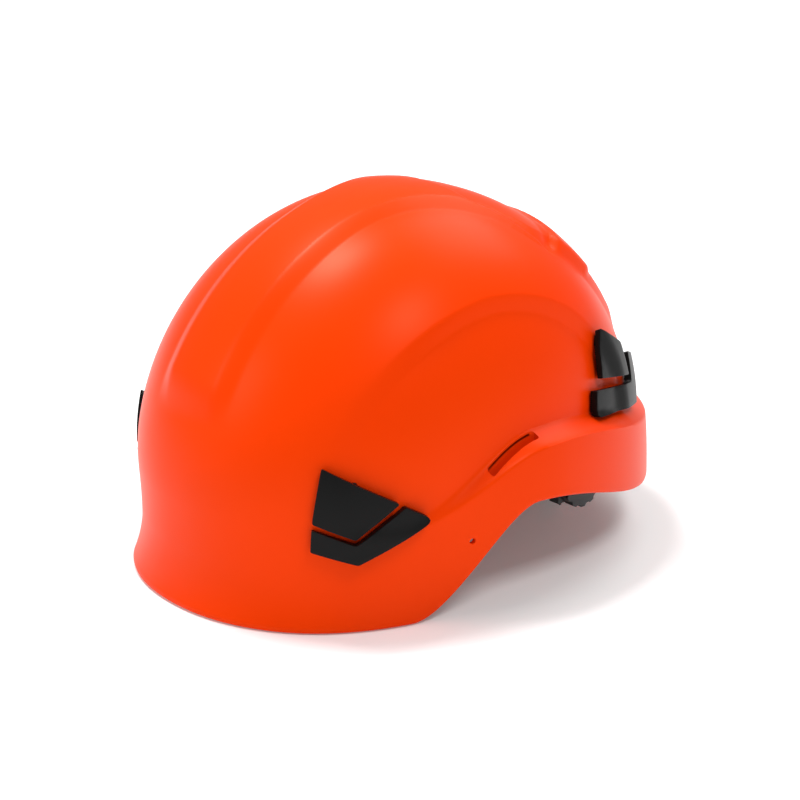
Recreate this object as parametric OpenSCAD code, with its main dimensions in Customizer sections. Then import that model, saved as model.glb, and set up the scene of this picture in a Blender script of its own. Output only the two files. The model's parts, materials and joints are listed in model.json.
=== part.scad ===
// Work-at-height helmet for arborists: moulded shell, textile cradle, wheel-adjusted headband,
// headlamp clips and a chin strap that is stowed along the inside of the brim.
// The front is -Y, the wearer's left is +X, and the helmet stands on its brim and nape yoke.

/* [Shell] */
// Width of the dome at the level of the ledge
shell_width = 214; // [212:1:216]
// Front half length of the dome
shell_front = 134.5; // [133:0.5:136]
// Rear half length of the dome
shell_rear = 141; // [140:0.5:142]
// Height of the crown, without the raised band
shell_height = 185.5; // [184:0.5:188]
// Wall thickness
wall = 2.8; // [2.6:0.1:3]
// How far the brim flares out
brim_flare = 7.7; // [6:0.1:9]
// How far the skirt below the ledge stands out
skirt_flare = 11.2; // [10:0.1:12]
// Height of the raised crown band
band_raise = 3; // [2:0.1:3.5]
// Depth of the side panels
panel_depth = 3.2; // [2:0.1:3.5]
// Height of the rim above the ear
ear_z = 52; // [50:1:54]
// Height of the rim at the nape
nape_z = 27.5; // [26:0.5:29]

/* [Fittings of the shell] */
// Length of each accessory slot
slot_length = 32; // [30:1:33]
// Width of each accessory slot
slot_width = 5; // [4.5:0.1:5.5]
// Radius of the visor screw holes
visor_hole_r = 1.5; // [1.4:0.05:1.7]
// Height that the headlamp clips stand above the wall
clip_height = 5; // [4:0.5:5.5]

/* [Headband] */
// Half width of the headband
band_half_width = 82; // [81:0.5:83]
// Front half length of the headband
band_front = 101; // [99:0.5:103]
// Rear half length of the nape yoke
band_rear = 104; // [103:0.5:105]
// Thickness of the headband plastic
band_thick = 1.6; // [1.4:0.1:1.8]
// Thickness of the foam pads
pad_thick = 4; // [3:0.5:4.5]

/* [Adjuster] */
// Radius of the adjuster wheels
wheel_r = 13; // [12:0.5:13]
// Width of the adjuster wheels
wheel_width = 6; // [5:0.5:6]

/* [Webbing] */
// Width of the cradle and chin webbing
web_width = 15.5; // [14:0.5:15.5]
// Thickness of the webbing
web_thick = 1.2; // [1:0.1:1.4]
// Height of the webbing crossing under the crown
cradle_z = 150; // [146:1:152]

/* [Hidden] */

$fn = 48;
dome_z = 52;
half_w = shell_width/2;
outline_power = 2.15;
rear_shift = 3.5;
columns = 80;
skirt_rows = 6;
dome_rows = 18;
ledge_drop = 8;

// Smooth step from 0 at a to 1 at b
function smooth(x, a, b) = let (t = min(1, max(0, (x - a)/(b - a)))) t*t*(3 - 2*t);
function mix(a, b, t) = a + (b - a)*t;
function unit(v) = v/norm(v);
// Superellipse radius at an angle from the front, with its own front and rear half length
function outline_r(a, w, f, b, m) =
  pow(pow(abs(sin(a))/w, m) + pow(abs(cos(a))/(cos(a) > 0 ? f : b), m), -1/m);
function outline(a, w, f, b, m) = outline_r(a, w, f, b, m)*[sin(a), -cos(a)];

// The rim is low at the brim, high over the ears and lower again at the nape
function rim_z(a) = ear_z*smooth(abs(a), 56, 90) + (nape_z - ear_z)*smooth(abs(a), 91, 147);
// The ledge over the skirt runs from the brim over the ears down to the nape
function ledge_z(a) = mix(54, 85, smooth(abs(a), 52, 93)) - 18*smooth(abs(a), 100, 155);

function dome_power(a) =
  mix(2.23, cos(a) > 0 ? 1.92 : 1.9, cos(a)*cos(a));
function dome_rise(z) = max(0, (z - dome_z)/(shell_height - dome_z));
function dome_k(z, n) = pow(max(0, 1 - pow(dome_rise(z), n)), 1/n);
// Point of the plain dome at an angle from the front and a height
function dome(a, z) =
  let (k = dome_k(z, dome_power(a)), p = k*outline(a, half_w, shell_front, shell_rear, outline_power))
  [p[0], p[1] + rear_shift*(1 - k), z];
// Outward direction at a point of the dome
function outward(p) =
  unit([
    p[0]/pow(half_w, 2),
    p[1]/pow(shell_front, 2),
    max(0, p[2] - dome_z)/pow(shell_height - dome_z, 2)
  ]);

function brim_lift(a, z) =
  let (front = 1 - smooth(abs(a), 25, 80))
  brim_flare*front*pow(min(1, max(0, 1 - z/28)), 2) - 1.3*front*exp(-pow((z - 38)/20, 2));
function tumble_lift(z) = -3.2*pow(min(1, max(0, 1 - z/dome_z)), 2);
// Half width of the raised crown band, which widens to the rear
function band_half(y) = min(46, 17 + 17.5*pow(max(0, (y + 50)/81), 2));
function crown_band_lift(p) =
  let (h = band_half(p[1]))
  band_raise*(1 - smooth(abs(p[0]), h, h + 10))*smooth(p[2], 92, 112);
function above_ledge(a, z) = smooth(z, ledge_z(a) - ledge_drop, ledge_z(a));
function panel_lift(a, p) =
  let (
    e = p[1] < -4 ? 1.7 : 2,
    u = abs(p[1] + 4)/(p[1] < -4 ? 93 : 85),
    f = pow(pow(u, e) + pow(max(0, (p[2] - 80)/67), e), 1/e),
    fade = mix(0.35, 1, smooth(p[1], -75, -30))
  )
  -panel_depth*(1 - smooth(f, 0.9, 1))*above_ledge(a, p[2])*fade;
function skirt_lift(a, z) =
  let (h = min(1, max(0, (ledge_z(a) - 4 - z)/45)))
  smooth(abs(a), 58, 100)*(1 - above_ledge(a, z))*(skirt_flare - 3.4*(1 - h));
function lift(a, p) =
  tumble_lift(p[2]) + brim_lift(a, p[2]) + crown_band_lift(p) + panel_lift(a, p) + skirt_lift(a, p[2]);
// Point of the outer face of the shell, moved outward by off
function skin(a, z, off = 0) = let (p = dome(a, z)) p + outward(p)*(lift(a, p) + off);

// Height of a row of the shell's grid: rows of the skirt, then rows of the dome up to the crown
function row_z(a, i) =
  i <= skirt_rows ? mix(rim_z(a), ledge_z(a) - ledge_drop, i/skirt_rows)
  : let (
      n = dome_power(a),
      z0 = ledge_z(a),
      t0 = atan2(dome_rise(z0), dome_k(z0, n)),
      t = mix(t0, 90, (i - skirt_rows - 1)/dome_rows),
      r = pow(pow(cos(t), n) + pow(sin(t), n), -1/n)
    )
    dome_z + (shell_height - dome_z)*r*sin(t);

brim_y = skin(0, 0)[1];
skirt_y = skin(180, nape_z)[1];
centre_y = (brim_y + skirt_y)/2;

// Moves the helmet so that its bounding box is centred on the origin
module centred() {
  translate([0, -centre_y, 0])
    children();
}
module mirrored() {
  mirror([1, 0, 0])
    children();
}
// Puts children on the outer face with +Z pointing outward
module on_skin(a, z, off = 0) {
  p = skin(a, z, off);
  n = outward(dome(a, z));
  u = unit([-n[1], n[0], 0]);
  v = cross(n, u);
  multmatrix([
    [u[0], v[0], n[0], p[0]],
    [u[1], v[1], n[1], p[1]],
    [u[2], v[2], n[2], p[2]],
    [0, 0, 0, 1]
  ])
    children();
}
// Puts children at a radius and height, with -Y pointing outward at an angle from the front
module at_angle(a, r, z) {
  rotate([0, 0, a])
    translate([0, -r, z])
      children();
}

// Closed solid between two grids of points with equal rows and columns, where the direction
// of the rows crossed with that of the columns points outward
module slab(outer, inner) {
  rows = len(outer);
  cols = len(outer[0]);
  count = rows*cols;
  points = concat([for (r = outer) each r], [for (r = inner) each r]);
  function at(i, j, side) = side*count + i*cols + j;
  function quad(a, b, c, d) = [[a, c, b], [a, d, c]];
  faces = [
    for (i = [0:rows - 2], j = [0:cols - 2])
      each concat(
        quad(at(i, j, 0), at(i + 1, j, 0), at(i + 1, j + 1, 0), at(i, j + 1, 0)),
        quad(at(i, j, 1), at(i, j + 1, 1), at(i + 1, j + 1, 1), at(i + 1, j, 1))
      ),
    for (i = [0:rows - 2])
      each concat(
        quad(at(i, 0, 0), at(i, 0, 1), at(i + 1, 0, 1), at(i + 1, 0, 0)),
        quad(at(i, cols - 1, 0), at(i + 1, cols - 1, 0), at(i + 1, cols - 1, 1), at(i, cols - 1, 1))
      ),
    for (j = [0:cols - 2])
      each concat(
        quad(at(0, j, 0), at(0, j + 1, 0), at(0, j + 1, 1), at(0, j, 1)),
        quad(at(rows - 1, j, 0), at(rows - 1, j, 1), at(rows - 1, j + 1, 1), at(rows - 1, j + 1, 0))
      )
  ];
  polyhedron(points, faces, convexity = 8);
}
function tangent(path, i) = unit(path[min(i + 1, len(path) - 1)] - path[max(i - 1, 0)]);
// Flat band along a path; across gives the direction of its width at each point
module band(path, across, widths, thick) {
  last = len(path) - 1;
  normals = [for (i = [0:last]) unit(cross(tangent(path, i), across[i]))];
  function edge(i, side) =
    [for (k = [-1, 1]) path[i] + normals[i]*side*thick/2 + across[i]*k*widths[i]/2];
  slab([for (i = [0:last]) edge(i, 1)], [for (i = [0:last]) edge(i, -1)]);
}
module upright_band(path, widths, thick) {
  band(path, [for (p = path) [0, 0, 1]], widths, thick);
}

// The moulded shell is built as a crown cap and ten wall plates that meet face to face.
// Cap from a row of the shell's grid up to the crown
module shell_cap(low) {
  rows = skirt_rows + dome_rows - low;
  ring = columns*(rows + 1);
  sides = ring + 1;
  function grid(off) = [
    for (i = [0:rows], j = [0:columns - 1])
      let (a = 360*j/columns - 180)
        skin(a, row_z(a, i + low), off)
  ];
  points = concat(grid(0), [skin(0, shell_height)], grid(-wall), [skin(0, shell_height, -wall)]);
  function at(i, j, side) = side*sides + (i > rows ? ring : i*columns + j%columns);
  function quad(a, b, c, d) = [[a, b, c], [a, c, d]];
  faces = [
    for (i = [0:rows - 1], j = [0:columns - 1])
      each concat(
        quad(at(i, j, 0), at(i + 1, j, 0), at(i + 1, j + 1, 0), at(i, j + 1, 0)),
        quad(at(i, j, 1), at(i, j + 1, 1), at(i + 1, j + 1, 1), at(i + 1, j, 1))
      ),
    for (j = [0:columns - 1])
      each concat(
        [[at(rows, j, 0), at(rows + 1, j, 0), at(rows, j + 1, 0)]],
        [[at(rows, j, 1), at(rows, j + 1, 1), at(rows + 1, j, 1)]],
        quad(at(0, j, 0), at(0, j + 1, 0), at(0, j + 1, 1), at(0, j, 1))
      )
  ];
  polyhedron(points, faces, convexity = 6);
}
// Plate of the wall between two angles and two rows of the shell's grid
module shell_plate(from, to, low, high) {
  function grid(off) = [
    for (a = [from:360/columns:to])
      [for (i = [low:high]) skin(a, row_z(a, i), off)]
  ];
  slab(grid(0), grid(-wall));
}
front_to = 31.5;
temple_to = 63;
side_to = 103.5;
rear_to = 148.5;
ledge_row = 4;
crown_row = 15;
module shell_colour() {
  color("orangered")
    centred()
      children();
}
module shell_crown() {
  shell_colour()
    shell_cap(crown_row);
}
module shell_front() {
  shell_colour()
    shell_plate(-front_to, front_to, 0, crown_row);
}
module shell_nape() {
  shell_colour()
    shell_plate(rear_to, 360 - rear_to, 0, crown_row);
}
// Hole for the stud of a clip
module stud_hole(stud) {
  on_skin(stud[0], stud[1])
    cylinder(h = 16, r = stud_r + 0.15, center = true);
}
module shell_temple_left() {
  shell_colour()
    difference() {
      shell_plate(front_to, temple_to, 0, crown_row);
      stud_hole(clip_studs[0]);
      stud_hole(clip_studs[1]);
    }
}
module shell_rear_left() {
  shell_colour()
    difference() {
      shell_plate(side_to, rear_to, 0, crown_row);
      stud_hole(clip_studs[2]);
      stud_hole(clip_studs[3]);
    }
}
visor_hole_a = 71;
visor_hole_z = 38.5;
module shell_cheek_left() {
  shell_colour()
    difference() {
      shell_plate(temple_to, side_to, 0, ledge_row);
      on_skin(visor_hole_a, visor_hole_z)
        cylinder(h = 12, r = visor_hole_r, center = true);
    }
}
// Plate with the accessory slot, which passes down through the ledge beside its upper crease
slot_at = [105.1, -10.5, 80];
slot_tilt = 9;
slot_depth = 26;
module shell_side_left() {
  shell_colour()
    difference() {
      shell_plate(temple_to, side_to, ledge_row, crown_row);
      translate(slot_at)
        rotate([slot_tilt, 0, 0])
          cube([slot_width, slot_length, slot_depth], center = true);
    }
}

// Headlamp clips. Outlines are [angle, height] points on the wall; each pair is an edge across the plate
stud_r = 2;
front_jaw = [[[33.5, 41], [33.8, 52.5]], [[43.4, 35], [42.9, 44.8]], [[60.4, 54], [53.7, 61.8]]];
front_flap = [[[33.9, 55.5], [35.6, 81.8]], [[42.8, 47.8], [52.3, 63.8]]];
front_root = [[[36.1, 75], [36.4, 80]], [[49.5, 61.5], [51.3, 64]]];
rear_jaw = [[[117, 79], [119, 91.5]], [[141, 71], [138, 84]], [[147, 93], [141.5, 97.5]]];
rear_flap = [[[123, 95.5], [127.5, 117.5]], [[136.8, 88.5], [137.6, 105]]];
rear_root = [[[127, 110.5], [128, 115]], [[136.5, 100], [137, 104.5]]];
clip_studs = [[43.5, 42], [42.5, 72.5], [135, 79], [131.5, 108]];
root_thick = 0.8;
flap_gap = 0.9;

// How much lower the clip is at an angle: it thins towards its front edge
clip_front = 33.5;
clip_thins = 2.2;
function clip_drop(a) = clip_thins*max(0, 1 - (a - clip_front)/9);
// Plate that follows the wall between two heights above it
module wall_plate(edges, lo, hi, thins = 0) {
  steps = 6;
  cols = 3;
  last = len(edges) - 1;
  rows = concat(
    [for (i = [0:last - 1], k = [0:steps - 1]) mix(edges[i], edges[i + 1], k/steps)],
    [edges[last]]
  );
  function grid(off, k) = [
    for (r = rows)
      [for (j = [0:cols]) let (p = mix(r[0], r[1], j/cols)) skin(p[0], p[1], off - k*clip_drop(p[0]))]
  ];
  slab(grid(hi, thins), grid(lo, 0));
}
// Stud that passes through the wall from a clip
module clip_stud(stud) {
  on_skin(stud[0], stud[1], -wall - 2.8)
    cylinder(h = wall + 3.5, r = stud_r);
}
module clip_base(jaw, root, studs) {
  color([0.1, 0.1, 0.1])
    centred() {
      union() {
        wall_plate(jaw, 1.2, clip_height, 1);
        clip_stud(studs[0]);
      }
      union() {
        wall_plate(root, 0.4, 0.4 + root_thick);
        clip_stud(studs[1]);
      }
    }
}
module clip_flap(flap) {
  color([0.14, 0.14, 0.14])
    centred()
      wall_plate(flap, 0.4 + root_thick + flap_gap, clip_height, 1);
}
module front_clip_left() {
  clip_base(front_jaw, front_root, [clip_studs[0], clip_studs[1]]);
}
module rear_clip_left() {
  clip_base(rear_jaw, rear_root, [clip_studs[2], clip_studs[3]]);
}
// Push nuts that grip the clip studs inside the shell
module clip_push_nuts() {
  color("silver")
    centred()
      for (side = [0, 1], stud = clip_studs)
        mirror([side, 0, 0])
          on_skin(stud[0], stud[1], -wall - 2.3)
            difference() {
              cylinder(h = 1, r = 4.2);
              translate([0, 0, -1])
                cylinder(h = 3, r = stud_r + 0.05);
            }
}

// Textile cradle: three straps cross under the crown and hang from six keys on the wall
key_size = [19, 6, 14];
key_gap = 2.5;
// Angle and height of the front, side and rear keys
key_front = [34, 57];
key_side = [90, 94];
key_rear = [146, 84];
strap_tail = 4;
function wall_r(a, z) = let (p = skin(a, z, -wall)) norm([p[0], p[1]]);
function key_r(key) = wall_r(key[0], key[1]) - key_gap - key_size[1]/2;
// Block against the wall, with a stud pressed into it
module wall_key(at, size, gap) {
  r = wall_r(at[0], at[1]) - gap - size[1]/2;
  at_angle(at[0], r, at[1])
    cube(size, center = true);
  at_angle(at[0], r + size[1]/2 - 0.5, at[1])
    rotate([90, 0, 0])
      cylinder(h = gap + 0.5 + wall/2, r = 2.2);
}
module cradle_key(key) {
  color([0.12, 0.12, 0.12])
    centred()
      difference() {
        wall_key(key, key_size, key_gap);
        at_angle(key[0], key_r(key), key[1])
          cube([web_width + 0.8, web_thick + 0.7, 40], center = true);
      }
}
module cradle_strap(key_a, key_b, top) {
  steps = 14;
  power = 1.25;
  dir = [sin(key_a[0]), -cos(key_a[0]), 0];
  function side(t) = cos(t) >= 0 ? key_a : key_b;
  function reach(t) = (cos(t) >= 0 ? 1 : -1)*key_r(side(t))*pow(abs(cos(t)), power);
  function height(t) = mix(side(t)[1] + key_size[2]/2, top, pow(sin(t), power));
  path = concat(
    [dir*key_r(key_a) + [0, 0, key_a[1] - strap_tail]],
    [for (i = [0:steps]) let (t = 180*i/steps) dir*reach(t) + [0, 0, height(t)]],
    [-dir*key_r(key_b) + [0, 0, key_b[1] - strap_tail]]
  );
  across = cross(dir, [0, 0, 1]);
  color("gold")
    centred()
      band(path, [for (p = path) across], [for (p = path) web_width], web_thick);
}
function swung(key) = [-key[0], key[1]];
module crown_pad() {
  pad_r = 32;
  top = cradle_z - web_thick/2 - 0.6;
  drop = 9.5;
  steps = 6;
  color([0.15, 0.15, 0.15])
    centred()
      rotate_extrude()
        polygon(concat(
          [for (i = [0:steps]) [pad_r*i/steps, top - drop*pow(i/steps, 2)]],
          [for (i = [steps:-1:0]) [pad_r*i/steps, top - pad_thick - drop*pow(i/steps, 2)]]
        ));
}

// Headband. Its front strip carries the nape unit on two pivots above the ears
band_power = 2.2;
band_z = 48;
pivot = [0, -6, 46];
pivot_r = 3;
pivot_play = 0.05;
arm_gap = 1;
arm_x = band_half_width + band_thick + arm_gap;
disc_r = 9;
function headband(a, in = 0) =
  outline(a, band_half_width - in, band_front - in, band_rear - in, band_power);
function headband_height(a) = 28 - 10*smooth(abs(a), 40, 80);
module pivot_disc(x, hole_r) {
  translate([x, pivot[1], pivot[2]])
    rotate([0, 90, 0])
      difference() {
        cylinder(h = band_thick, r = disc_r, center = true);
        cylinder(h = 9, r = hole_r, center = true);
      }
}
module pivot_bore(hole_r) {
  translate([band_half_width, pivot[1], pivot[2]])
    rotate([0, 90, 0])
      cylinder(h = 20, r = hole_r, center = true);
}
// Tab from the headband that rises at its radius and then reaches out to a cradle key
module key_tab(key, z, rise, out) {
  inner = norm(headband(key[0])) + out;
  reach = key_r(key) - key_size[1]/2 + 1;
  dir = [sin(key[0]), -cos(key[0]), 0];
  across = [cos(key[0]), sin(key[0]), 0];
  path = [
    dir*inner + [0, 0, z],
    dir*inner + [0, 0, rise],
    dir*reach + [0, 0, key[1]]
  ];
  band(path, [across, across, across], [12, 12, 12], 1.4);
}
module headband_front() {
  angles = [for (a = [-90:7.5:90]) a];
  color([0.13, 0.13, 0.13])
    centred()
      difference() {
        union() {
          upright_band(
            [for (a = angles) concat(headband(a), band_z)],
            [for (a = angles) headband_height(a)],
            band_thick
          );
          for (side = [-1, 1]) {
            pivot_disc(side*band_half_width, 1);
            key_tab([side*key_front[0], key_front[1]], 50, 57, 0.6);
            key_tab([side*key_side[0], key_side[1]], 50, 72, 0);
          }
        }
        pivot_bore(pivot_r + pivot_play);
        mirrored()
          pivot_bore(pivot_r + pivot_play);
      }
}
// Foam pad that lines a stretch of the headband
module lining(from, to, step, z, height) {
  angles = [for (a = [from:step:to]) a];
  color([0.2, 0.2, 0.2])
    centred()
      upright_band(
        [for (a = angles) concat(headband(a, (band_thick + pad_thick)/2 + 0.4), z)],
        [for (a = angles) height],
        pad_thick
      );
}
// The brow pad is one pad, built as three stretches with a hair's gap between them
brow_z = 47;
brow_height = 30;
module brow_pad_middle() {
  lining(-19.5, 19.5, 6.5, brow_z, brow_height);
}
module brow_pad_left() {
  lining(20, 60, 8, brow_z, brow_height);
}
pin_length = 2*band_thick + arm_gap + 1;
module pivot_pin_left() {
  color([0.1, 0.1, 0.1])
    centred()
      translate([band_half_width - band_thick/2 - 0.3, pivot[1], pivot[2]])
        rotate([0, 90, 0]) {
          translate([0, 0, -1.2])
            cylinder(h = 1.2, r = 5);
          cylinder(h = pin_length, r = pivot_r);
          translate([0, 0, pin_length])
            cylinder(h = 1.4, r = 5.5);
        }
}

// Nape unit. The racks run through housings at the ends of the yoke
tooth_module = 1;
pinion_teeth = 10;
rack_x = 71;
rack_w = 2.6;
wheel_y = 66;
wheel_z = 34;
pitch_r = tooth_module*pinion_teeth/2;
pitch = PI*tooth_module;
rack_from = 42;
rack_to = 76;
rack_z = wheel_z + pitch_r;
rack_root = rack_z + 1.1*tooth_module;
rack_top = rack_z + 7;
housing_from = 54;
housing_to = 78;
housing_x = [67.5, 72.9];
cover_x = [73, 74.1];
shaft_r = 2.5;
shaft_play = 0.05;

// Arm from the pivot to the start of the rack
module rear_arm_left() {
  path = [
    [arm_x + 0.4, -15, 46], [arm_x + 0.4, -6, 46], [arm_x + 0.2, 6, 46], [arm_x - 1, 16, 46],
    [arm_x - 3.6, 24, 46], [77.8, 31, 45.4], [74.2, 36, 44.4], [71.6, 40, 43.6], [rack_x, 44, 43.2]
  ];
  widths = [15, 17, 16.5, 16, 15.5, 14.5, 11, 7, 5.6];
  tooth_half = 0.2*pitch;
  slope = 0.33;
  color([0.16, 0.16, 0.16])
    centred() {
      difference() {
        union() {
          upright_band(path, widths, band_thick);
          pivot_disc(arm_x + 0.4, 1);
          translate([rack_x - rack_w/2, rack_from, rack_root])
            cube([rack_w, rack_to - rack_from, rack_top - rack_root]);
          translate([rack_x - rack_w/2, 0, 0])
            rotate([90, 0, 90])
              linear_extrude(rack_w)
                for (i = [-4:2])
                  polygon([
                    [wheel_y + (i + 0.5)*pitch - tooth_half - slope*1.2, rack_root + 0.1],
                    [wheel_y + (i + 0.5)*pitch + tooth_half + slope*1.2, rack_root + 0.1],
                    [wheel_y + (i + 0.5)*pitch + tooth_half - slope*0.8, rack_z - 0.8*tooth_module],
                    [wheel_y + (i + 0.5)*pitch - tooth_half + slope*0.8, rack_z - 0.8*tooth_module]
                  ]);
        }
        pivot_bore(pivot_r + pivot_play);
      }
    }
}
// Housing that the rack runs through and the wheel turns in
module housing_body() {
  translate([housing_x[0], housing_from, 23.5])
    cube([housing_x[1] - housing_x[0], housing_to - housing_from, 26.5]);
}
module housing_cavity() {
  translate([rack_x - rack_w/2 - 0.4, housing_from - 5, rack_z - 1.2])
    cube([10, housing_to - housing_from + 10, rack_top - rack_z + 1.8]);
  translate([rack_x - rack_w/2 - 0.4, wheel_y - 7, 25])
    cube([10, 14, rack_z - 25]);
  translate([rack_x, wheel_y, wheel_z])
    rotate([0, 90, 0])
      cylinder(h = 6, r = shaft_r + shaft_play, center = true);
}
module nape_yoke() {
  angles = [for (a = [131:7:229]) a];
  function droop(a) = smooth(abs(a - 180), 10, 49);
  color([0.13, 0.13, 0.13])
    centred()
      difference() {
        union() {
          upright_band(
            [for (a = angles) concat(headband(a), mix(16, 36, droop(a)))],
            [for (a = angles) mix(32, 22, droop(a))],
            band_thick
          );
          housing_body();
          mirrored()
            housing_body();
        }
        housing_cavity();
        mirrored()
          housing_cavity();
      }
}
module nape_pad() {
  lining(154, 206, 6.5, 17, 27);
}
module adjuster_cover_left() {
  color([0.2, 0.2, 0.2])
    centred()
      difference() {
        translate([cover_x[0], housing_from, 23.5])
          cube([cover_x[1] - cover_x[0], housing_to - housing_from, 26.5]);
        translate([cover_x[0], wheel_y, wheel_z])
          rotate([0, 90, 0])
            cylinder(h = 6, r = shaft_r + shaft_play, center = true);
      }
}
// Leaf that clicks against the pinion
module detent_spring_left() {
  color("silver")
    centred()
      translate([rack_x - rack_w/2, wheel_y - 6, 25.2])
        cube([rack_w, 12, 0.5]);
}
module adjuster_wheel_left() {
  scallops = 12;
  color([0.1, 0.1, 0.1])
    centred()
      translate([0, wheel_y, wheel_z])
        rotate([0, 90, 0])
          union() {
            translate([0, 0, cover_x[1] + 0.4])
              difference() {
                cylinder(h = wheel_width, r = wheel_r);
                for (i = [0:scallops - 1])
                  rotate([0, 0, 360*(i + 0.5)/scallops])
                    translate([wheel_r + 1, 0, -1])
                      cylinder(h = wheel_width + 2, r = 2.2, $fn = 24);
              }
            translate([0, 0, 69])
              cylinder(h = cover_x[1] + 0.4 - 69, r = shaft_r);
          }
}
module pinion_left() {
  tip_r = pitch_r + 0.8*tooth_module;
  root_r = pitch_r - 1.1*tooth_module;
  tooth_half = 0.19*360/pinion_teeth;
  color("white")
    centred()
      translate([rack_x - rack_w/2, wheel_y, wheel_z])
        rotate([0, 90, 0])
          difference() {
            union() {
              cylinder(h = rack_w, r = root_r);
              for (i = [0:pinion_teeth - 1])
                rotate([0, 0, 180 + 360*i/pinion_teeth])
                  linear_extrude(rack_w)
                    polygon([
                      [root_r*cos(13) - 0.4, root_r*sin(13)],
                      [pitch_r*cos(tooth_half), pitch_r*sin(tooth_half)],
                      [tip_r*cos(3.6), tip_r*sin(3.6)],
                      [tip_r*cos(3.6), -tip_r*sin(3.6)],
                      [pitch_r*cos(tooth_half), -pitch_r*sin(tooth_half)],
                      [root_r*cos(13) - 0.4, -root_r*sin(13)]
                    ]);
            }
            translate([0, 0, -1])
              cylinder(h = rack_w + 2, r = shaft_r + 0.02);
          }
}

// Chin strap, stowed forward along the inside of the brim and buckled at the front
chin_half_w = 94;
chin_front = 118;
chin_z = 14;
chin_web = 15;
divider = [62, 99.5, 27];
chin_key_size = [13, 4.5, 10];
chin_key_gap = 0.8;
chin_key_front = [54, 58];
chin_key_rear = [112, 62];
function chin_ring(a) = outline(a, chin_half_w, chin_front, chin_front, outline_power);
// Point at an angle from the front, a radius and a height
function polar(p) = [p[1]*sin(p[0]), -p[1]*cos(p[0]), p[2]];
module chin_web_front_left() {
  route = [[54.2, 107, 54.5], [55.5, 106, 49], [58, 103.5, 42], [60.5, 101.5, 36]];
  path = [for (p = route) polar(p)];
  color([0.12, 0.12, 0.12])
    centred()
      band(path, [for (p = route) [cos(p[0]), sin(p[0]), 0]], [for (p = route) 10], web_thick);
}
module chin_web_rear_left() {
  route = [
    [109, 112, 61], [102, 107, 60.5], [94, 102, 59], [86, 98.5, 55.5],
    [78, 97, 49], [71, 98, 41], [66.5, 99.5, 34]
  ];
  color([0.12, 0.12, 0.12])
    centred()
      upright_band([for (p = route) polar(p)], [for (p = route) 12], web_thick);
}
// Keys that hold the ends of the chin webs at the wall
module chin_web_key_left() {
  color([0.12, 0.12, 0.12])
    centred() {
      wall_key(chin_key_front, chin_key_size, chin_key_gap);
      wall_key(chin_key_rear, chin_key_size, chin_key_gap);
    }
}
module strap_divider_left() {
  color([0.1, 0.1, 0.1])
    centred()
      at_angle(divider[0] + 4, divider[1], divider[2])
        cube([16, 4, 19], center = true);
}
buckle_y = -115;
socket_x = [1, 27];
plug_x = [-27, 0.5];
buckle_h = 21;
chin_steps = 9;
// Half of the chin strap, from the divider to the buckle
function chin_path() = concat(
  [for (i = [0:chin_steps])
    let (t = i/chin_steps, a = mix(divider[0] - 4, 20, t))
      concat(chin_ring(a), mix(divider[2] - 3, chin_z, smooth(t, 0, 0.6)))],
  [[34, -112.6, chin_z], [29.5, -114.6, chin_z], [25, buckle_y, chin_z], [22, buckle_y, chin_z]]
);
module chin_strap_left() {
  color([0.12, 0.12, 0.12])
    centred()
      upright_band(chin_path(), [for (p = chin_path()) chin_web], web_thick);
}
module strap_keeper() {
  p = chin_ring(32);
  color([0.1, 0.1, 0.1])
    centred()
      translate(concat(p, chin_z))
        rotate([0, 0, 44])
          difference() {
            cube([8, 5, 19], center = true);
            cube([20, web_thick + 1.2, chin_web + 1], center = true);
          }
}
module buckle_socket() {
  color([0.1, 0.1, 0.1])
    centred()
      translate([0, buckle_y, chin_z])
        difference() {
          translate([socket_x[0], -4.5, -buckle_h/2])
            cube([socket_x[1] - socket_x[0], 9, buckle_h]);
          translate([socket_x[0] - 1, -2.6, -buckle_h/2 + 1.4])
            cube([18, 5.2, buckle_h - 2.8]);
          translate([socket_x[1] - 6, -1.2, -buckle_h/2 + 2])
            cube([10, 2.4, buckle_h - 4]);
        }
}
prong_z = 6.6;
module buckle_plug() {
  color([0.1, 0.1, 0.1])
    centred()
      translate([0, buckle_y, chin_z])
        difference() {
          union() {
            translate([plug_x[0] + 5, -4, -buckle_h/2])
              cube([-plug_x[0] - 5.4, 8, buckle_h]);
            translate([-1, -2, -1.5])
              cube([15, 4, 3]);
          }
          translate([plug_x[0], -1.2, -buckle_h/2 + 2])
            cube([12, 2.4, buckle_h - 4]);
          for (k = [-1, 1])
            translate([-4, 0, k*prong_z])
              cube([8, 4.4, 4.6], center = true);
        }
}
// Springy side prong of the buckle; k is 1 for the upper one
module buckle_prong(k) {
  color([0.13, 0.13, 0.13])
    centred()
      translate([0, buckle_y, chin_z])
        translate([-7.6, -1.9, k*prong_z - 1])
          cube([22, 3.8, 2]);
}
module chin_strap_right() {
  mirrored()
    chin_strap_left();
}

shell_crown();
shell_front();
shell_nape();
shell_temple_left();
mirrored() shell_temple_left();  // shell_temple_right
shell_cheek_left();
mirrored() shell_cheek_left();  // shell_cheek_right
shell_side_left();
mirrored() shell_side_left();  // shell_side_right
shell_rear_left();
mirrored() shell_rear_left();  // shell_rear_right
front_clip_left();
mirrored() front_clip_left();  // front_clip_right
rear_clip_left();
mirrored() rear_clip_left();  // rear_clip_right
clip_flap(front_flap);  // front_clip_flap_left
mirrored() clip_flap(front_flap);  // front_clip_flap_right
clip_flap(rear_flap);  // rear_clip_flap_left
mirrored() clip_flap(rear_flap);  // rear_clip_flap_right
clip_push_nuts();
cradle_strap(key_side, key_side, cradle_z + 5.4);  // cradle_strap_across
cradle_strap(key_front, key_rear, cradle_z + 2.7);  // cradle_strap_diagonal_left
mirrored() cradle_strap(key_front, key_rear, cradle_z);  // cradle_strap_diagonal_right
cradle_key(key_front);  // cradle_key_front_left
cradle_key(swung(key_front));  // cradle_key_front_right
cradle_key(key_side);  // cradle_key_side_left
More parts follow.
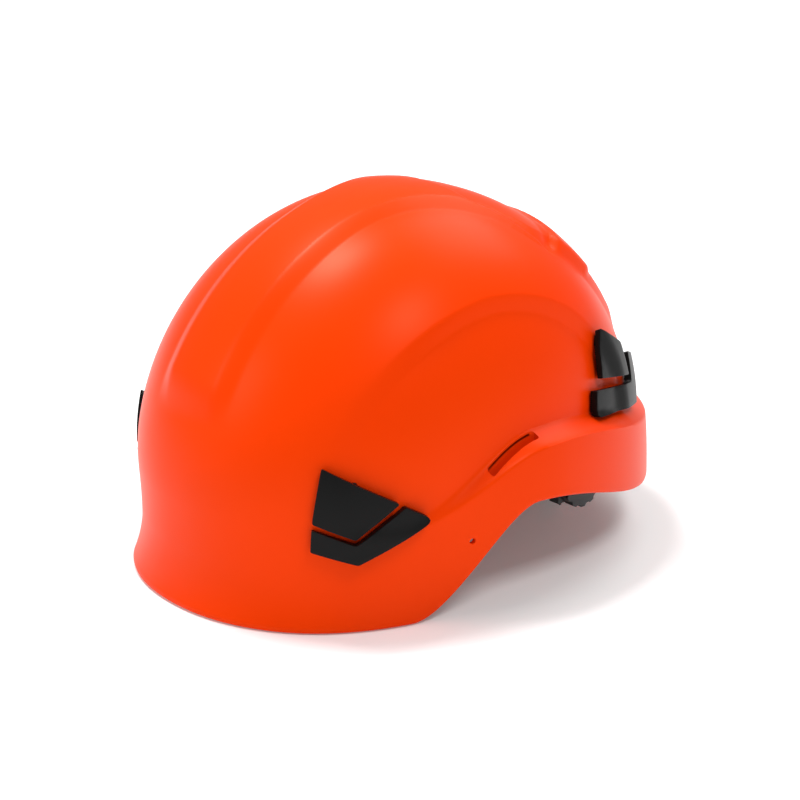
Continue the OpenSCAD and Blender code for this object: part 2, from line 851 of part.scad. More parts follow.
cradle_key(swung(key_side));  // cradle_key_side_right
cradle_key(key_rear);  // cradle_key_rear_left
cradle_key(swung(key_rear));  // cradle_key_rear_right
crown_pad();
headband_front();
brow_pad_middle();
brow_pad_left();
mirrored() brow_pad_left();  // brow_pad_right
pivot_pin_left();
mirrored() pivot_pin_left();  // pivot_pin_right
rear_arm_left();
mirrored() rear_arm_left();  // rear_arm_right
nape_yoke();
nape_pad();
adjuster_cover_left();
mirrored() adjuster_cover_left();  // adjuster_cover_right
detent_spring_left();
mirrored() detent_spring_left();  // detent_spring_right
adjuster_wheel_left();
mirrored() adjuster_wheel_left();  // adjuster_wheel_right
pinion_left();
mirrored() pinion_left();  // pinion_right
chin_web_front_left();
mirrored() chin_web_front_left();  // chin_web_front_right
chin_web_rear_left();
mirrored() chin_web_rear_left();  // chin_web_rear_right
chin_web_key_left();
mirrored() chin_web_key_left();  // chin_web_key_right
strap_divider_left();
mirrored() strap_divider_left();  // strap_divider_right
chin_strap_left();
chin_strap_right();
strap_keeper();
buckle_socket();
buckle_plug();
buckle_prong(1);  // buckle_prong_upper
buckle_prong(-1);  // buckle_prong_lower
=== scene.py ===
"""Arborist helmet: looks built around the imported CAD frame.

Shell sizes are in millimetres, in the shell's own frame; to_frame() turns them into frame metres.
"""

import json
import math

import bmesh
import bpy
import numpy as np
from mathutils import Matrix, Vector


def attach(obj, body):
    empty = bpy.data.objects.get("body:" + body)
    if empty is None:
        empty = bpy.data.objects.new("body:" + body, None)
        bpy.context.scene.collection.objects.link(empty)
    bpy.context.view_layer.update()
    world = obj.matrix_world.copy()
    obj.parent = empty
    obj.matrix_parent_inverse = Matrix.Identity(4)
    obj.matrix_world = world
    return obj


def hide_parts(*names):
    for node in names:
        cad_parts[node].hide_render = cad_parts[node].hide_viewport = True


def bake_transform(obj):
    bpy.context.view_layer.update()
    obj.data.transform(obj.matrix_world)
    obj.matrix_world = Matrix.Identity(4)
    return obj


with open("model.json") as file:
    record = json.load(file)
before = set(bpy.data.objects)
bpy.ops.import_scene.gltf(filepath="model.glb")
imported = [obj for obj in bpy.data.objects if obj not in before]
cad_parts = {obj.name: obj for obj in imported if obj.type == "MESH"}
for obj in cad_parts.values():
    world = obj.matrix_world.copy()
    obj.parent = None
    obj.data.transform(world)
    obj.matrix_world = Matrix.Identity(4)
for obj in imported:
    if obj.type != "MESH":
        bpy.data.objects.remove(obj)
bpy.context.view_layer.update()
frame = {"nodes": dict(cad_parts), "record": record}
MM = 0.001
SIDES = {"left": 1, "right": -1}

# ---------------------------------------------------------------- shell surface
# A superellipse dome over a lower wall, lifted outward by its features, as in the CAD shell.
HALF_W, FRONT, REAR, HEIGHT = 107.0, 134.5, 141.0, 185.5
WALL = 2.8
DOME_Z = 52.0
OUTLINE_POWER = 2.15
REAR_SHIFT = 3.5
LEDGE_DROP = 8.0
EAR_Z, NAPE_Z = 52.0, 27.5
BAND_RAISE, BAND_BEVEL = 3.0, 10.0
BAND_HALF, BAND_GROWTH, BAND_HALF_MAX = 17, 17.5, 46
PANEL_DEPTH = 3.2
PANEL_Y, PANEL_Z, PANEL_FRONT, PANEL_REAR, PANEL_HEIGHT = -4, 80, 93, 85, 67
RIM_IN, BRIM_OUT, BRIM_HEIGHT = 3.2, 7.7, 28
WAIST_IN, WAIST_Z, WAIST_HALF = 1.3, 38, 20
LEDGE_OUT, LEDGE_TAPER, TAPER_HEIGHT = 11.2, 3.4, 45
CORNER = 0.1  # share of a bevel's profile that is rounded


def smooth(x, a, b):
    t = np.clip((x - a) / (b - a), 0, 1)
    return t * t * (3 - 2 * t)


def ramp(x, a, b):
    """A straight bevel from 0 at a to 1 at b with slightly rounded corners."""
    return mix(np.clip((x - a) / (b - a), 0, 1), smooth(x, a, b), CORNER)


def mix(a, b, t):
    return a + (b - a) * t


def sin_d(a):
    return np.sin(np.radians(a))


def cos_d(a):
    return np.cos(np.radians(a))


def outline_r(a, w, f, b, m):
    """Radius of a superellipse with half width w and different front and back lengths."""
    length = np.where(cos_d(a) > 0, f, b)
    return (np.abs(sin_d(a) / w) ** m + np.abs(cos_d(a) / length) ** m) ** (-1 / m)


def outline(a, w, f, b, m):
    r = outline_r(a, w, f, b, m)
    return np.array([r * sin_d(a), -r * cos_d(a)])


def rim_z(a):
    """Height of the rim at an angle from the front, in degrees."""
    a = np.abs(a)
    return EAR_Z * smooth(a, 56, 90) + (NAPE_Z - EAR_Z) * smooth(a, 91, 147)


def ledge_z(a):
    a = np.abs(a)
    return mix(54, 85, smooth(a, 52, 93)) - 18 * smooth(a, 100, 155)


def dome_power(a):
    return mix(2.23, np.where(cos_d(a) > 0, 1.92, 1.9), cos_d(a) ** 2)


def dome(a, z):
    rise = np.clip((z - DOME_Z) / (HEIGHT - DOME_Z), 0, 1)
    n = dome_power(a)
    k = np.clip(1 - rise**n, 0, 1) ** (1 / n)
    r = k * outline_r(a, HALF_W, FRONT, REAR, OUTLINE_POWER)
    return np.stack([r * sin_d(a), -r * cos_d(a) + REAR_SHIFT * (1 - k), z + 0 * r], -1)


def outward(p):
    rise = np.maximum(p[..., 2] - DOME_Z, 0) / (HEIGHT - DOME_Z) ** 2
    v = np.stack([p[..., 0] / HALF_W**2, p[..., 1] / FRONT**2, rise], -1)
    return v / np.linalg.norm(v, axis=-1, keepdims=True)


def above_ledge(a, z, step=smooth):
    return step(z, ledge_z(a) - LEDGE_DROP, ledge_z(a))


def rear_block(x, y, z):
    """Raised block across the rear of the crown band, with a notch in each upper corner."""
    x = np.abs(x)
    start = ramp(y + 0.45 * np.maximum(0, x - 30), 75.5, 79.5)
    end = ramp(z, 132.5, 135.5)
    notch = np.exp(-(((x - 50) / 5) ** 2) - ((z - 155.5 + 0.35 * (x - 50)) / 2.2) ** 2)
    return 1.7 * (1 - ramp(x, 48, 54)) * start * end - 2.0 * notch * smooth(y, 40, 60)


def crown_recess(x, y, z):
    """Shallow recess in the crown band, ahead of the rear block."""
    half = 34 + 0.72 * (y - 29)
    along = ramp(y, 24, 26) * (1 - ramp(y + 0.45 * np.maximum(0, np.abs(x) - 30), 71, 74))
    return -0.8 * (1 - ramp(np.abs(x), half, half + 1.6)) * along * smooth(z, 140, 150)


def lift(a, p):
    """How far the skin stands out from the plain dome and wall."""
    x, y, z = np.abs(p[..., 0]), p[..., 1], p[..., 2]
    front = 1 - smooth(np.abs(a), 25, 80)
    d = -RIM_IN * np.clip(1 - z / DOME_Z, 0, 1) ** 2
    d = d + BRIM_OUT * front * np.clip(1 - z / BRIM_HEIGHT, 0, 1) ** 2
    d = d - WAIST_IN * front * np.exp(-(((z - WAIST_Z) / WAIST_HALF) ** 2))
    band = np.minimum(BAND_HALF_MAX, BAND_HALF + BAND_GROWTH * np.maximum(0, (y + 50) / 81) ** 2)
    d = d + BAND_RAISE * (1 - ramp(x, band, band + BAND_BEVEL)) * smooth(z, 92, 112)
    e = np.where(y < PANEL_Y, 1.7, 2.0)
    u = np.abs(y - PANEL_Y) / np.where(y < PANEL_Y, PANEL_FRONT, PANEL_REAR)
    f = (u**e + (np.maximum(0, z - PANEL_Z) / PANEL_HEIGHT) ** e) ** (1 / e)
    fade = mix(0.35, 1, smooth(y, -75, -30))
    d = d - PANEL_DEPTH * (1 - ramp(f, 0.9, 1)) * above_ledge(a, z) * fade
    h = np.clip((ledge_z(a) - LEDGE_DROP / 2 - z) / TAPER_HEIGHT, 0, 1)
    crisp = smooth(np.abs(a), 66, 84)
    ledge = mix(above_ledge(a, z), above_ledge(a, z, ramp), crisp)
    d = d + smooth(np.abs(a), 58, 100) * (1 - ledge) * (LEDGE_OUT - LEDGE_TAPER * (1 - h))
    return d + crown_recess(p[..., 0], y, z) + rear_block(p[..., 0], y, z)


def skin(a, z, off=0.0):
    """Points of the shell's outer face at angles and heights, moved outward by off."""
    a, z = np.broadcast_arrays(np.asarray(a, float), np.asarray(z, float))
    p = dome(a, z)
    return p + outward(p) * (lift(a, p) + off)[..., None]


CENTRE_Y = float(skin(0, 0)[1] + skin(180, NAPE_Z)[1]) / 2


def to_frame(points_mm):
    """Shell millimetres to frame metres."""
    return (np.asarray(points_mm, float) - [0, CENTRE_Y, 0]) * MM


# ---------------------------------------------------------------- materials
def node(tree, kind, **values):
    made = tree.nodes.new(kind)
    for key, value in values.items():
        if key in made.inputs:
            made.inputs[key].default_value = value
        else:
            setattr(made, key, value)
    return made


def principled(name, roughness, **sockets):
    """A new material with its tree, shader and object coordinates."""
    mat = bpy.data.materials.new(name)
    mat.use_nodes = True
    tree = mat.node_tree
    shader = tree.nodes["Principled BSDF"]
    shader.inputs["Roughness"].default_value = roughness
    for key, value in sockets.items():
        shader.inputs[key.replace("_", " ")].default_value = value
    where = node(tree, "ShaderNodeTexCoord")
    return mat, tree, shader, where


def two_colours(tree, shader, factor, dark, light):
    """Base colour that runs from dark to light with a factor."""
    blend = node(tree, "ShaderNodeMix", data_type="RGBA")
    blend.inputs["A"].default_value = (*dark, 1)
    blend.inputs["B"].default_value = (*light, 1)
    tree.links.new(factor, blend.inputs["Factor"])
    tree.links.new(blend.outputs["Result"], shader.inputs["Base Color"])


def bump(tree, shader, height, strength, distance, below=None):
    made = node(tree, "ShaderNodeBump", Strength=strength, Distance=distance)
    tree.links.new(height, made.inputs["Height"])
    if below is not None:
        tree.links.new(below.outputs["Normal"], made.inputs["Normal"])
    tree.links.new(made.outputs["Normal"], shader.inputs["Normal"])
    return made


def rough_range(tree, shader, factor, low, high):
    made = node(tree, "ShaderNodeMapRange")
    made.inputs["To Min"].default_value = low
    made.inputs["To Max"].default_value = high
    tree.links.new(factor, made.inputs["Value"])
    tree.links.new(made.outputs["Result"], shader.inputs["Roughness"])


def moulded(name, dark, light, rough, grain=2600, grain_strength=0.12, patches=14, **sockets):
    """Moulded plastic: slow colour and gloss changes, and a fine grain."""
    mat, tree, shader, where = principled(name, rough, **sockets)
    slow = node(tree, "ShaderNodeTexNoise", Scale=patches, Detail=3.0)
    tree.links.new(where.outputs["Object"], slow.inputs["Vector"])
    two_colours(tree, shader, slow.outputs["Fac"], dark, light)
    rough_range(tree, shader, slow.outputs["Fac"], rough - 0.04, rough + 0.05)
    fine = node(tree, "ShaderNodeTexNoise", Scale=grain, Detail=2.0)
    tree.links.new(where.outputs["Object"], fine.inputs["Vector"])
    bump(tree, shader, fine.outputs["Fac"], grain_strength, 0.0002)
    return mat


def metal(name, colour, rough):
    """Sheet metal with fine marks drawn out along Z."""
    mat, tree, shader, where = principled(name, rough, Metallic=1.0)
    brushed = node(tree, "ShaderNodeMapping")
    brushed.inputs["Scale"].default_value = (900, 900, 60)
    tree.links.new(where.outputs["Object"], brushed.inputs["Vector"])
    fine = node(tree, "ShaderNodeTexNoise", Scale=3.0, Detail=4.0)
    tree.links.new(brushed.outputs["Vector"], fine.inputs["Vector"])
    two_colours(tree, shader, fine.outputs["Fac"], [0.8 * c for c in colour], colour)
    rough_range(tree, shader, fine.outputs["Fac"], rough - 0.06, rough + 0.1)
    bump(tree, shader, fine.outputs["Fac"], 0.1, 0.0001)
    return mat


def webbing(name, dark, light, pitch=0.0011):
    """Woven strap: two crossing sets of diagonal ribs, from its UV map in metres, and a fine fuzz."""
    mat, tree, shader, where = principled(name, 0.78, Sheen_Weight=0.25, Sheen_Roughness=0.4)
    waves = []
    for turn in (0.6, -0.6):
        turned = node(tree, "ShaderNodeMapping")
        turned.inputs["Rotation"].default_value = (0, 0, turn)
        tree.links.new(where.outputs["UV"], turned.inputs["Vector"])
        wave = node(tree, "ShaderNodeTexWave", Scale=2 * math.pi / (20 * pitch), Distortion=0.4)
        wave.inputs["Detail Scale"].default_value = 2.0
        tree.links.new(turned.outputs["Vector"], wave.inputs["Vector"])
        waves.append(wave)
    both = node(tree, "ShaderNodeMath", operation="MULTIPLY")
    for i, wave in enumerate(waves):
        tree.links.new(wave.outputs["Fac"], both.inputs[i])
    # painted shade: the colour runs dark where the ribs are low, from the same product as the bump
    two_colours(tree, shader, both.outputs["Value"], dark, light)
    woven = bump(tree, shader, both.outputs["Value"], 0.7, 0.0004)
    fuzz = node(tree, "ShaderNodeTexNoise", Scale=4200.0, Detail=2.0)
    tree.links.new(where.outputs["Object"], fuzz.inputs["Vector"])
    bump(tree, shader, fuzz.outputs["Fac"], 0.25, 0.0002, woven)
    return mat


def knit(name, dark, light, pitch=0.0013):
    """Brushed knit over foam, from object coordinates."""
    mat, tree, shader, where = principled(name, 0.92, Sheen_Weight=0.45, Sheen_Roughness=0.5)
    cells = node(tree, "ShaderNodeTexVoronoi", Scale=1 / pitch, Randomness=0.35)
    tree.links.new(where.outputs["Object"], cells.inputs["Vector"])
    # painted shade: the colour runs dark towards the cells' borders, where the bump makes the knit low
    two_colours(tree, shader, cells.outputs["Distance"], light, dark)
    loops = bump(tree, shader, cells.outputs["Distance"], -0.55, 0.0005)
    fuzz = node(tree, "ShaderNodeTexNoise", Scale=3000.0, Detail=3.0)
    tree.links.new(where.outputs["Object"], fuzz.inputs["Vector"])
    bump(tree, shader, fuzz.outputs["Fac"], 0.3, 0.0003, loops)
    return mat


MATERIALS = {
    "shell_plastic": moulded("shell_plastic_look", (0.86, 0.04, 0.0), (0.92, 0.05, 0.0), 0.35,
                             grain=1500, grain_strength=0.05, patches=9, Specular_IOR_Level=0.1,
                             Specular_Tint=(1, 0.8, 0.5, 1)),
    "clip_plastic": moulded("clip_plastic_look", (0.002, 0.002, 0.002), (0.005, 0.005, 0.005), 0.36,
                            Specular_IOR_Level=0.12),
    "headband_plastic": moulded("headband_plastic_look", (0.012, 0.012, 0.013), (0.02, 0.02, 0.022), 0.5),
    "fitting_plastic": moulded("fitting_plastic_look", (0.014, 0.014, 0.015), (0.022, 0.022, 0.024), 0.46),
    "buckle_plastic": moulded("buckle_plastic_look", (0.009, 0.009, 0.01), (0.016, 0.016, 0.017), 0.36),
    "wheel_plastic": moulded("wheel_plastic_look", (0.01, 0.01, 0.011), (0.018, 0.018, 0.02), 0.42),
    "gear_plastic": moulded("gear_plastic_look", (0.72, 0.71, 0.67), (0.8, 0.79, 0.75), 0.42),
    "spring_steel": metal("spring_steel_look", (0.62, 0.62, 0.63), 0.32),
    # the webbings' dark colours are painted shade in the hollows of the weave
    "cradle_webbing": webbing("cradle_webbing_look", (0.42, 0.25, 0.012), (0.86, 0.58, 0.05)),
    "chin_webbing": webbing("chin_webbing_look", (0.006, 0.006, 0.007), (0.03, 0.03, 0.033)),
    # the pad fabric's dark colour is painted shade between the knit's loops
    "pad_fabric": knit("pad_fabric_look", (0.012, 0.012, 0.014), (0.05, 0.05, 0.055)),
    "stitching": moulded("stitching_look", (0.1, 0.1, 0.105), (0.22, 0.22, 0.23), 0.8),
}
SLOT_OF = {part["node"]: part["material_slot"] for part in frame["record"]["subparts"]}


# ---------------------------------------------------------------- mesh helpers
UP = np.array([0.0, 0.0, 1.0])
SAME_POINT = 1e-5


def settle(obj, body, slot, nodes=()):
    """Gives a piece its material and its body, and hides the CAD nodes that it stands for."""
    obj.data.materials.clear()
    obj.data.materials.append(MATERIALS[slot])
    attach(obj, body)
    if nodes:
        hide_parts(*nodes)
    return obj


def link(name, data):
    """New object for a mesh, lamp or camera."""
    obj = bpy.data.objects.new(name, data)
    bpy.context.collection.objects.link(obj)
    return obj


def shade(bm, angle=35):
    """Smooth shading that breaks at sharp edges."""
    limit = math.radians(angle)
    for face in bm.faces:
        face.smooth = True
    for edge in bm.edges:
        edge.smooth = not (len(edge.link_faces) == 2 and edge.calc_face_angle(0) > limit)


def from_points(name, points, faces, sharp=35):
    """Object from frame metres."""
    mesh = bpy.data.meshes.new(name)
    mesh.from_pydata([tuple(p) for p in points], [], faces)
    bm = bmesh.new()
    bm.from_mesh(mesh)
    bmesh.ops.recalc_face_normals(bm, faces=bm.faces)
    shade(bm, sharp)
    bm.to_mesh(mesh)
    bm.free()
    return link(name, mesh)


def bake(obj, sharp=None):
    """Applies the object's modifiers."""
    seen = obj.evaluated_get(bpy.context.evaluated_depsgraph_get())
    mesh = bpy.data.meshes.new_from_object(seen)
    obj.modifiers.clear()
    obj.data = mesh
    if sharp is not None:
        bm = bmesh.new()
        bm.from_mesh(mesh)
        bmesh.ops.remove_doubles(bm, verts=bm.verts, dist=SAME_POINT)
        bmesh.ops.dissolve_degenerate(bm, edges=bm.edges, dist=SAME_POINT)
        shade(bm, sharp)
        bm.to_mesh(mesh)
        bm.free()
    return obj


def bevelled(obj, width, segments=3, angle=38):
    """Rounds the sharp edges by a width in millimetres."""
    cut = obj.modifiers.new("edges", "BEVEL")
    cut.width = width * MM
    cut.segments = segments
    cut.limit_method = "ANGLE"
    cut.angle_limit = math.radians(angle)
    cut.use_clamp_overlap = True
    cut.harden_normals = False
    return bake(obj, 50)


def softened(name, cad_node, body, width, segments=3):
    """A CAD node's shape with its edges rounded off."""
    bm = bmesh.new()
    bm.from_mesh(bpy.data.objects[cad_node].data)
    bmesh.ops.remove_doubles(bm, verts=bm.verts, dist=1e-6)
    bmesh.ops.dissolve_limit(bm, angle_limit=math.radians(0.6), verts=bm.verts, edges=bm.edges)
    shade(bm)
    mesh = bpy.data.meshes.new(name)
    bm.to_mesh(mesh)
    bm.free()
    obj = bevelled(link(name, mesh), width, segments)
    return settle(obj, body, SLOT_OF[cad_node], [cad_node])


def mirrored(points, side):
    return np.asarray(points, float) * [side, 1, 1]


def unit(v):
    return v / np.linalg.norm(v, axis=-1, keepdims=True)


def circle(radius, steps=24):
    return [(radius * math.cos(t), radius * math.sin(t)) for t in np.arange(steps) * 2 * math.pi / steps]


def grid_faces(rows, cols, wrap=False, first=0):
    """Quads of a grid of points; wrap joins the last column to the first."""
    span = cols if wrap else cols - 1
    return [
        (first + i * cols + j, first + i * cols + (j + 1) % cols,
         first + (i + 1) * cols + (j + 1) % cols, first + (i + 1) * cols + j)
        for i in range(rows - 1) for j in range(span)
    ]


# ---------------------------------------------------------------- shell
COLUMNS = 432
OUTER_ROWS, INNER_ROWS = (24, 10, 150), (6, 4, 24)  # rows of the skirt, the ledge and the dome
EDGE_TURNS = (36, 72, 108, 144)  # degrees round the rim's rounded edge


def shell_rows(a, skirt, ledge, top, foot):
    """Heights of the grid's rows at an angle: skirt, ledge, then dome up to the crown."""
    low, high = rim_z(a) + foot, ledge_z(a)
    rows = [mix(low, high - LEDGE_DROP, i / skirt) for i in range(skirt)]
    rows += [mix(high - LEDGE_DROP, high, i / ledge) for i in range(ledge)]
    n = dome_power(a)
    rise = np.clip((high - DOME_Z) / (HEIGHT - DOME_Z), 0, 1)
    start = np.arctan2(rise, (1 - rise**n) ** (1 / n))
    for i in range(top):
        t = mix(start, math.pi / 2, i / top)
        r = (np.cos(t) ** n + np.sin(t) ** n) ** (-1 / n)
        rows.append(DOME_Z + (HEIGHT - DOME_Z) * r * np.sin(t))
    return rows


def build_shell():
    """Outer face, rounded rim and inner face as one closed surface."""
    a = np.arange(COLUMNS) * 360 / COLUMNS - 180
    half = WALL / 2
    outer = [skin(a, z) for z in shell_rows(a, *OUTER_ROWS, half)]
    inner = [skin(a, z, -WALL) for z in shell_rows(a, *INNER_ROWS, half)]
    middle, reach = (outer[0] + inner[0]) / 2, (outer[0] - inner[0]) / 2
    down = np.array([0, 0, -half])
    edge = [middle + reach * math.cos(t) + down * math.sin(t) for t in np.radians(EDGE_TURNS)]
    rings = outer[::-1] + edge + inner
    points = np.concatenate([*rings, [skin(0.0, HEIGHT)], [skin(0.0, HEIGHT, -WALL)]])
    faces = grid_faces(len(rings), COLUMNS, wrap=True)
    crown, under = len(points) - 2, len(points) - 1
    last = (len(rings) - 1) * COLUMNS
    faces += [(crown, (j + 1) % COLUMNS, j) for j in range(COLUMNS)]
    faces += [(under, last + j, last + (j + 1) % COLUMNS) for j in range(COLUMNS)]
    return from_points("helmet_shell", to_frame(points), faces, 60)


SLOT_CENTRE, SLOT_TILT = (105.1, -10.5, 80), math.radians(9)
SLOT_SIZE = (5, 32, 26)
SLOT_CORNER = 1.6
SLEEVE_WALL, SLEEVE_PLAY = 1.2, 0.1
SLEEVE_UNDER = 1.2  # how far the sleeve stays under the shell's outer face
SLEEVE_DROPS = (0, 3, 6, 9, 13)
VISOR_A, VISOR_Z, VISOR_R, VISOR_REACH = 71, 38.5, 1.5, 6


def rounded_outline(width, length, radius, steps=5):
    """Points round a rectangle with rounded corners, centred on the origin."""
    points = []
    for i, (sx, sy) in enumerate(((1, 1), (-1, 1), (-1, -1), (1, -1))):
        cx, cy = sx * (width / 2 - radius), sy * (length / 2 - radius)
        for k in range(steps + 1):
            t = math.pi / 2 * (i + k / steps)
            points.append((cx + radius * math.cos(t), cy + radius * math.sin(t)))
    return points


def prism(points_2d, levels, place):
    """Closed prism through levels of height; place() puts a local point in shell millimetres."""
    n = len(points_2d)
    points = [place((x, y, z)) for z in levels for x, y in points_2d]
    faces = grid_faces(len(levels), n, wrap=True)
    faces += [tuple(range(n))[::-1], tuple(range((len(levels) - 1) * n, len(levels) * n))]
    return points, faces


def slot_place(side):
    """Placer for points in the accessory slot's own tilted frame."""
    def place(p):
        x, y, z = p
        turned = (x, y * math.cos(SLOT_TILT) - z * math.sin(SLOT_TILT),
                  y * math.sin(SLOT_TILT) + z * math.cos(SLOT_TILT))
        return mirrored(np.add(SLOT_CENTRE, turned), side)
    return place


def skin_place(a, z, side):
    """Placer for points near a spot on the skin: along the wall, up it, and outward."""
    at, n = skin(a, z), outward(dome(a, z))
    u = unit(np.cross(UP, n))
    v = np.cross(n, u)
    return lambda p: mirrored(at + u * p[0] + v * p[1] + n * p[2], side)


def join_parts(name, parts):
    """One object from several (points in shell millimetres, faces)."""
    points, faces = [], []
    for part_points, part_faces in parts:
        faces += [tuple(len(points) + i for i in face) for face in part_faces]
        points += list(part_points)
    return from_points(name, to_frame(points), faces)


def cut(obj, cutter):
    """Subtracts a cutter from a mesh and removes it."""
    hole = obj.modifiers.new("hole", "BOOLEAN")
    hole.object = cutter
    hole.solver = "EXACT"
    bake(obj, 42)
    bpy.data.objects.remove(cutter)


def dense(points, step):
    """The outline with points added along its long edges."""
    out = []
    for p, q in zip(points, points[1:] + points[:1]):
        count = max(1, math.ceil(math.dist(p, q) / step))
        out += [(mix(p[0], q[0], k / count), mix(p[1], q[1], k / count)) for k in range(count)]
    return out


def within_wall(points, depth):
    """Points pulled in so that they lie at least a depth under the shell's outer face."""
    p = np.array(points)
    a = np.degrees(np.arctan2(p[:, 0], -p[:, 1]))
    limit = np.linalg.norm(skin(a, p[:, 2], -depth)[:, :2], axis=1)
    p[:, :2] *= np.minimum(1, limit / np.linalg.norm(p[:, :2], axis=1))[:, None]
    return p


def build_pocket(side):
    """Moulded sleeve that hangs from the ledge's skin round the accessory slot."""
    width, length = SLOT_SIZE[:2]
    full_width, full_length = width + 2 * SLEEVE_WALL, length + 2 * SLEEVE_WALL
    outer = dense(rounded_outline(full_width, full_length, SLOT_CORNER + SLEEVE_WALL), 1.5)
    inner = [(x * width / full_width, y * (length + SLEEVE_PLAY) / full_length) for x, y in outer]
    heights = np.linspace(SLOT_CENTRE[2] - 25, SLOT_CENTRE[2] + 15, 201)
    points = []
    for ring, drops in ((outer, SLEEVE_DROPS), (inner, SLEEVE_DROPS[::-1])):
        xy = np.array(ring) + SLOT_CENTRE[:2]
        a, r = np.degrees(np.arctan2(xy[:, 0], -xy[:, 1])), np.linalg.norm(xy, axis=1)
        under = [skin(a_k, heights, -SLEEVE_UNDER) for a_k in a]
        tops = [max(p[2] for p in face if math.hypot(p[0], p[1]) >= min(r_k, math.hypot(*face[0][:2])))
                for face, r_k in zip(under, r)]
        for drop in drops:
            points += list(within_wall(np.column_stack([xy, np.array(tops) - drop]), SLEEVE_UNDER))
    n = len(outer)
    count = len(points) // n
    faces = grid_faces(count, n, wrap=True)
    last = (count - 1) * n
    faces += [(last + j, last + (j + 1) % n, (j + 1) % n, j) for j in range(n)]
    return list(mirrored(points, side)), faces


shell = build_shell()
cutters = []
for side in SIDES.values():
    slot_levels = (-SLOT_SIZE[2] / 2, SLOT_SIZE[2] / 2)
    cutters.append(prism(rounded_outline(*SLOT_SIZE[:2], SLOT_CORNER), slot_levels, slot_place(side)))
    visor_levels = (-VISOR_REACH, VISOR_REACH)
    cutters.append(prism(circle(VISOR_R), visor_levels, skin_place(VISOR_A, VISOR_Z, side)))
cut(shell, join_parts("cutters", cutters))
settle(shell, "helmet", "shell_plastic", [n for n in frame["nodes"] if n.startswith("shell_")])
for name, side in SIDES.items():
    pocket = join_parts(f"slot_pocket_{name}", [build_pocket(side)])
    settle(pocket, "helmet", "shell_plastic")

# ---------------------------------------------------------------- headlamp clips
DEGREE_MM = 2.0  # length of a degree of angle on the wall
CLIP_LOW, FLAP_LOW, CLIP_HIGH = 1.2, 2.1, 5.0
ROOT_LOW, ROOT_HIGH = 0.4, 1.2
CLIP_THINS, CLIP_FRONT, THIN_SPAN = 2.2, 33.5, 9
PLATE_STEP = 2.5
# Corners of each plate as (angle, height), in pairs from its lower to its upper edge.
JAW = {"front": [[(33.5, 41), (33.8, 52.5)], [(43.4, 35), (42.9, 44.8)], [(60.4, 54), (53.7, 61.8)]],
       "rear": [[(117, 79), (119, 91.5)], [(141, 71), (138, 84)], [(147, 93), (141.5, 97.5)]]}
FLAP = {"front": [[(33.9, 55.5), (35.6, 81.8)], [(42.8, 47.8), (52.3, 63.8)]],
        "rear": [[(123, 95.5), (127.5, 117.5)], [(136.8, 88.5), (137.6, 105)]]}
ROOT = {"front": [[(36.1, 75), (36.4, 80)], [(49.5, 61.5), (51.3, 64)]],
        "rear": [[(127, 110.5), (128, 115)], [(136.5, 100), (137, 104.5)]]}
JAW_CORNER, JAW_TIP, JAW_HEEL = {"front": 0.8, "rear": 1.0}, {"front": 4.5, "rear": 1.2}, 1.2
FLAP_CORNERS, ROOT_CORNERS = (1.2, 1.0, 1.0, 1.0), (0.6, 0.6, 0.6, 0.6)
STUDS = {"front": [(43.5, 42), (42.5, 72.5)], "rear": [(135, 79), (131.5, 108)]}
STUD_R, STUD_LOW, STUD_TOPS = 2.0, -WALL - 2.8, (1.5, 0.8)


def clip_drop(a):
    """How much lower a clip is at an angle: it thins towards its front edge."""
    return CLIP_THINS * np.maximum(0, 1 - (a - CLIP_FRONT) / THIN_SPAN)


def rounded_corners(corners, radii, steps=4):
    """Outline with each corner replaced by a curve that starts that far from it."""
    out = []
    for i, corner in enumerate(corners):
        p = np.array(corner, float)
        before, after = np.array(corners[i - 1], float), np.array(corners[(i + 1) % len(corners)], float)
        u, v = unit(before - p), unit(after - p)
        for k in range(steps + 1):
            t = k / steps
            out.append(p + u * radii[i] * (1 - t) ** 2 + v * radii[i] * t**2)
    return out


def plate(name, edges, radii, low, high, side, width=0.45, thins=1):
    """Plate that follows the wall from low to high above it; thins is the share of clip_drop to take off."""
    corners = [e[0] for e in edges] + [e[1] for e in edges[::-1]]
    flat = [(a * DEGREE_MM, z) for a, z in corners]
    loop = rounded_corners(flat, radii)
    bm = bmesh.new()
    bm.faces.new([bm.verts.new((x, z, 0)) for x, z in loop])
    lo, hi = np.min(loop, 0), np.max(loop, 0)
    for axis in (0, 1):
        for cut_at in np.arange(math.ceil(lo[axis] / PLATE_STEP) * PLATE_STEP, hi[axis], PLATE_STEP):
            at, normal = [0, 0, 0], [0, 0, 0]
            at[axis], normal[axis] = cut_at, 1
            bmesh.ops.bisect_plane(bm, geom=[*bm.verts, *bm.edges, *bm.faces], plane_co=at, plane_no=normal)
    bm.verts.ensure_lookup_table()
    at = np.array([v.co for v in bm.verts])
    faces = [[v.index for v in f.verts] for f in bm.faces]
    rim = [tuple(v.index for v in e.verts) for e in bm.edges if e.is_boundary]
    bm.free()
    a, z = at[:, 0] / DEGREE_MM, at[:, 1]
    points = np.concatenate([skin(a, z, high - thins * clip_drop(a)), skin(a, z, low)])
    n = len(at)
    faces = faces + [[n + i for i in f[::-1]] for f in faces] + [[p, q, n + q, n + p] for p, q in rim]
    obj = from_points(name, to_frame(mirrored(points, side)), faces)
    return bevelled(obj, width, 3, 50)


